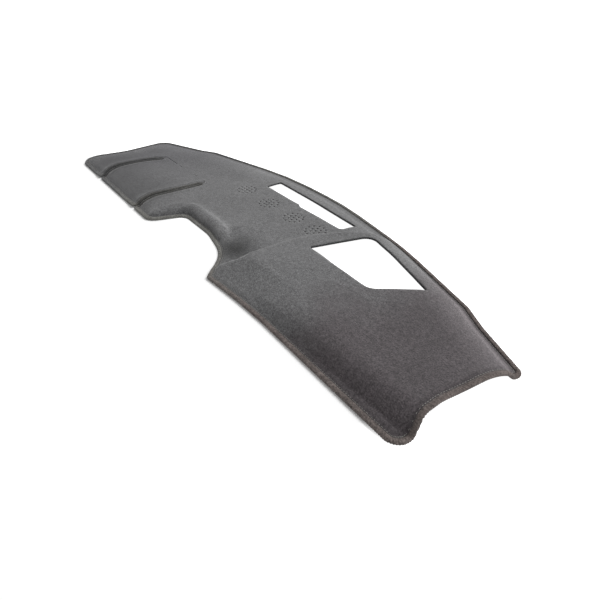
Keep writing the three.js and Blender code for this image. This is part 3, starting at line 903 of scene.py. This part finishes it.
def stitch_row(material):
    """Stitches that hold the binding, in a row beside it."""
    marks, at = along_outline(STITCH_PITCH)
    place, out = at(marks)
    spot = place - out * STITCH_IN
    x, y = spot.T
    up = normals(x, y)
    ahead = np.stack((-out[:, 1], out[:, 0], np.zeros(len(out))), axis=1)
    ahead -= up * (ahead * up).sum(axis=1)[:, None]
    ahead /= np.linalg.norm(ahead, axis=1)[:, None]
    side = np.cross(up, ahead)
    base = np.stack((x, y, middle(x, y)), axis=1) + up * (CARPET / 2 - SEAM_PINCH + STITCH_RISE)
    shape, shape_faces = stitch_shape()
    turned = np.einsum("nk,mkj->mnj", shape, np.stack((ahead, side, up), axis=1))
    points = (base[:, None] + turned).reshape(-1, 3)
    faces = []
    for i in range(len(marks)):
        first = i * len(shape)
        faces += [tuple(first + v for v in face) for face in shape_faces]
    return mesh_object("stitches", points, faces, [material], np.ones(len(points)))


def node(tree, kind, **values):
    """A new node, with inputs set by name and properties by attribute."""
    made = tree.nodes.new(kind)
    for name, value in values.items():
        if name in made.inputs:
            made.inputs[name].default_value = value
        else:
            setattr(made, name, value)
    return made


def grey_noise(tree, place, scale, detail, low, high):
    """A factor between low and high from noise of this scale per metre."""
    noise = node(tree, "ShaderNodeTexNoise", Scale=scale, Detail=detail, Roughness=NOISE_ROUGHNESS)
    tree.links.new(place, noise.inputs["Vector"])
    spread = node(tree, "ShaderNodeMapRange")
    spread.inputs["From Min"].default_value = NOISE_RANGE[0]
    spread.inputs["From Max"].default_value = NOISE_RANGE[1]
    spread.inputs["To Min"].default_value = low
    spread.inputs["To Max"].default_value = high
    tree.links.new(noise.outputs["Fac"], spread.inputs["Value"])
    return spread.outputs["Result"], noise.outputs["Fac"]


def joined(tree, operation, a, b):
    """The result of a mathematical operation on two outputs."""
    made = node(tree, "ShaderNodeMath", operation=operation)
    tree.links.new(a, made.inputs[0])
    tree.links.new(b, made.inputs[1])
    return made.outputs[0]


def product(tree, a, b):
    """The product of two outputs."""
    return joined(tree, "MULTIPLY", a, b)


def blend_colour(tree, share, colour_output, colour):
    """The colour of an output, turned into another by a share."""
    made = node(tree, "ShaderNodeMix", data_type="RGBA")
    tree.links.new(share, made.inputs["Factor"])
    tree.links.new(colour_output, made.inputs[6])
    made.inputs[7].default_value = (*colour, 1)
    return made.outputs[2]


def ramp(tree, value, start, end):
    """0 where the value is at start and 1 where it is at end, smooth in between."""
    made = node(tree, "ShaderNodeMapRange", interpolation_type="SMOOTHSTEP")
    made.inputs["From Min"].default_value = start
    made.inputs["From Max"].default_value = end
    tree.links.new(value, made.inputs["Value"])
    return made.outputs["Result"]


def tint_ends_and_paint_facing_light(material, near, far, facing_light):
    """Tints a cloth towards the mat's two ends, partly its own tone and partly painted shade, and lightens
    it where it faces the windscreen, a painted highlight on the side turned to the sun.
    """
    tree = material.node_tree
    shader = tree.nodes["Principled BSDF"]
    tint = shader.inputs["Base Color"].links[0].from_node
    place = node(tree, "ShaderNodeTexCoord").outputs["Object"]
    blotches = node(tree, "ShaderNodeTexNoise", Scale=PATCH_SCALE, Detail=2)
    tree.links.new(place, blotches.inputs["Vector"])
    drift = node(tree, "ShaderNodeMath", operation="MULTIPLY_ADD")
    drift.inputs[1].default_value = PATCH_DRIFT
    tree.links.new(blotches.outputs["Fac"], drift.inputs[0])
    split = node(tree, "ShaderNodeSeparateXYZ")
    tree.links.new(place, split.inputs[0])
    tree.links.new(split.outputs["X"], drift.inputs[2])
    along = drift.outputs[0]
    base = node(tree, "ShaderNodeRGB")
    base.outputs[0].default_value = (*tint.inputs[0].default_value[:3], 1)
    colour = blend_colour(tree, ramp(tree, along, *near[1]), base.outputs[0], near[0])
    colour = blend_colour(tree, ramp(tree, along, *far[1]), colour, far[0])
    # painted highlight: lighter where the surface faces the windscreen, the side turned to the sun
    facing = node(tree, "ShaderNodeSeparateXYZ")
    tree.links.new(node(tree, "ShaderNodeNewGeometry").outputs["Normal"], facing.inputs[0])
    rearward = node(tree, "ShaderNodeMath", operation="MAXIMUM")
    rearward.inputs[1].default_value = 0
    tree.links.new(facing.outputs["Y"], rearward.inputs[0])
    facing_light_gain = node(tree, "ShaderNodeMath", operation="MULTIPLY_ADD")
    facing_light_gain.inputs[1].default_value = facing_light
    facing_light_gain.inputs[2].default_value = 1
    tree.links.new(rearward.outputs[0], facing_light_gain.inputs[0])
    grains = tint.inputs["Scale"].links[0].from_socket
    tree.links.new(colour, tint.inputs[0])
    tree.links.new(product(tree, grains, facing_light_gain.outputs[0]), tint.inputs["Scale"])


def cloth_material(name, colour, grains, bump, roughness=0.95, sheen=0.0):
    """A matt cloth whose brightness varies by grains (scale, detail, low, high) and by the painted light
    and shade in its shade attribute, with raised fibres.
    """
    material = bpy.data.materials.new(name)
    material.use_nodes = True
    tree = material.node_tree
    shader = tree.nodes["Principled BSDF"]
    shader.inputs["Roughness"].default_value = roughness
    shader.inputs["Specular IOR Level"].default_value = SPECULAR
    shader.inputs["Sheen Weight"].default_value = sheen
    shader.inputs["Sheen Roughness"].default_value = SHEEN_ROUGHNESS
    place = node(tree, "ShaderNodeTexCoord").outputs["Object"]
    # the shade attribute holds painted light and shade on the pile and the yarn
    factor = node(tree, "ShaderNodeAttribute", attribute_name="shade").outputs["Fac"]
    fibres = None
    for scale, detail, low, high in grains:
        spread, raw = grey_noise(tree, place, scale, detail, low, high)
        factor = product(tree, factor, spread)
        fibres = fibres or raw
    tint = node(tree, "ShaderNodeVectorMath", operation="SCALE")
    tint.inputs[0].default_value = colour
    tree.links.new(factor, tint.inputs["Scale"])
    tree.links.new(tint.outputs["Vector"], shader.inputs["Base Color"])
    raised = node(tree, "ShaderNodeBump", Strength=bump, Distance=FIBRE_DEPTH)
    tree.links.new(fibres, raised.inputs["Height"])
    tree.links.new(raised.outputs["Normal"], shader.inputs["Normal"])
    return material


def seen_rays(tree):
    """1 for rays that show the background, and 0 for the light on the object."""
    path = node(tree, "ShaderNodeLightPath")
    both = joined(tree, "ADD", path.outputs["Is Camera Ray"], path.outputs["Is Glossy Ray"])
    return joined(tree, "ADD", both, path.outputs["Is Transmission Ray"])


def floor_plane():
    """White ground that keeps the shadow on the cabin side and is white in the picture beyond it; towards
    the windscreen edge and past the near end its glow paints out the shadow, as painted light.
    """
    mesh = bpy.data.meshes.new("floor")
    signs = ((-1, -1), (1, -1), (1, 1), (-1, 1))
    corners = [(FLOOR_REACH * a, FLOOR_REACH * b, 0) for a, b in signs]
    mesh.from_pydata(corners, [], [(0, 1, 2, 3)])
    floor = bpy.data.objects.new("floor", mesh)
    bpy.context.scene.collection.objects.link(floor)
    material = bpy.data.materials.new("floor")
    material.use_nodes = True
    tree = material.node_tree
    tree.nodes.clear()
    white = node(tree, "ShaderNodeBsdfDiffuse", Color=(FLOOR_WHITE, FLOOR_WHITE, FLOOR_WHITE, 1))
    glow = node(tree, "ShaderNodeEmission", Color=(1, 1, 1, 1))
    split = node(tree, "ShaderNodeSeparateXYZ")
    tree.links.new(node(tree, "ShaderNodeTexCoord").outputs["Object"], split.inputs[0])
    # painted light: the glow rises towards the windscreen edge and past the near end, clearing the mat's
    # shadow there
    rear = node(tree, "ShaderNodeMapRange", interpolation_type="SMOOTHSTEP")
    rear.inputs["From Min"].default_value = GLOW_Y[0]
    rear.inputs["From Max"].default_value = GLOW_Y[1]
    rear.inputs["To Min"].default_value = GLOW_CABIN
    rear.inputs["To Max"].default_value = GLOW_REAR
    tree.links.new(split.outputs["Y"], rear.inputs["Value"])
    end = ramp(tree, split.outputs["X"], *GLOW_X)
    strength = joined(tree, "MAXIMUM", rear.outputs["Result"], end)
    tree.links.new(product(tree, seen_rays(tree), strength), glow.inputs["Strength"])
    both = node(tree, "ShaderNodeAddShader")
    tree.links.new(white.outputs[0], both.inputs[0])
    tree.links.new(glow.outputs[0], both.inputs[1])
    output = node(tree, "ShaderNodeOutputMaterial")
    tree.links.new(both.outputs[0], output.inputs["Surface"])
    mesh.materials.append(material)
    return floor


def light_scene():
    """A soft sun from behind the windscreen edge, and an even white world."""
    sun = bpy.data.lights.new("sun", "SUN")
    sun.energy = SUN_STRENGTH
    sun.angle = math.radians(SUN_SOFTNESS)
    lamp = bpy.data.objects.new("sun", sun)
    lamp.rotation_euler = [math.radians(a) for a in SUN_TURN]
    bpy.context.scene.collection.objects.link(lamp)
    world = bpy.data.worlds.new("world")
    bpy.context.scene.world = world
    world.use_nodes = True
    tree = world.node_tree
    sky = tree.nodes["Background"]
    sky.inputs["Color"].default_value = (1, 1, 1, 1)
    white = node(tree, "ShaderNodeMath", operation="MULTIPLY_ADD")
    white.inputs[1].default_value = 1 - WORLD_STRENGTH
    white.inputs[2].default_value = WORLD_STRENGTH
    tree.links.new(seen_rays(tree), white.inputs[0])
    tree.links.new(white.outputs[0], sky.inputs["Strength"])


def place_camera():
    """The camera at the photo's angle."""
    data = bpy.data.cameras.new("camera")
    data.lens = LENS
    data.sensor_width = SENSOR
    camera = bpy.data.objects.new("camera", data)
    camera.location = CAMERA_AT
    camera.rotation_euler = [math.radians(a) for a in CAMERA_TURN]
    bpy.context.scene.collection.objects.link(camera)
    bpy.context.scene.camera = camera


def to_frame(pieces, guide):
    """Shifts the pieces so that the guide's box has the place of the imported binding's."""
    low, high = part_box("edge_binding")
    count = len(guide.data.vertices)
    points = np.empty(count * 3)
    guide.data.vertices.foreach_get("co", points)
    points = points.reshape(-1, 3)
    middle_plan = (points.min(axis=0) + points.max(axis=0)) / 2
    centre = (low + high) / 2
    shift = (centre.x - middle_plan[0], centre.y - middle_plan[1], low.z - points[:, 2].min())
    for piece in pieces:
        count = len(piece.data.vertices)
        points = np.empty(count * 3)
        piece.data.vertices.foreach_get("co", points)
        points = points.reshape(-1, 3) + shift
        piece.data.vertices.foreach_set("co", points.ravel())
        piece.data.update()


pile = cloth_material(
    "pile",
    (0.128, 0.128, 0.13),
    ((420, 3, 0.42, 1.58), (150, 2, 0.76, 1.24), (9, 2, 0.93, 1.07)),
    bump=1.0,
    sheen=0.3,
)
# the pile darkens towards both ends, partly its own tint and partly painted shade, and gets a painted
# highlight where it faces the windscreen
tint_ends_and_paint_facing_light(
    pile,
    near=((0.078, 0.068, 0.072), (0.44, 0.68)),
    far=((0.072, 0.071, 0.077), (0.05, -0.5)),
    facing_light=1.0,
)
backing = cloth_material("backing", (0.06, 0.06, 0.062), ((300, 2, 0.85, 1.15),), bump=0.3)
yarn = cloth_material(
    "yarn",
    (0.135, 0.133, 0.124),
    ((330, 2, 0.5, 1.5), (60, 1, 0.85, 1.15)),
    bump=0.7,
    sheen=0.1,
)
# the yarn turns darker and browner towards the near end and darker and greyer towards the far end, with no
# painted highlight
tint_ends_and_paint_facing_light(
    yarn,
    near=((0.112, 0.094, 0.088), (0.2, 0.5)),
    far=((0.1, 0.1, 0.1), (-0.1, -0.3)),
    facing_light=0,
)
thread = cloth_material("thread", (0.33, 0.32, 0.3), ((900, 1, 0.85, 1.15),), bump=0.3)

carpet = carpet_sheet([pile, backing])
binding = overlock_binding(yarn)
stitches = stitch_row(thread)
to_frame([carpet, binding, stitches], binding)

for piece in (carpet, binding, stitches):
    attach(piece, "root")
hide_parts("carpet_mat")
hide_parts("edge_binding")
floor = floor_plane()

light_scene()
place_camera()
bpy.context.scene.view_settings.view_transform = "Standard"
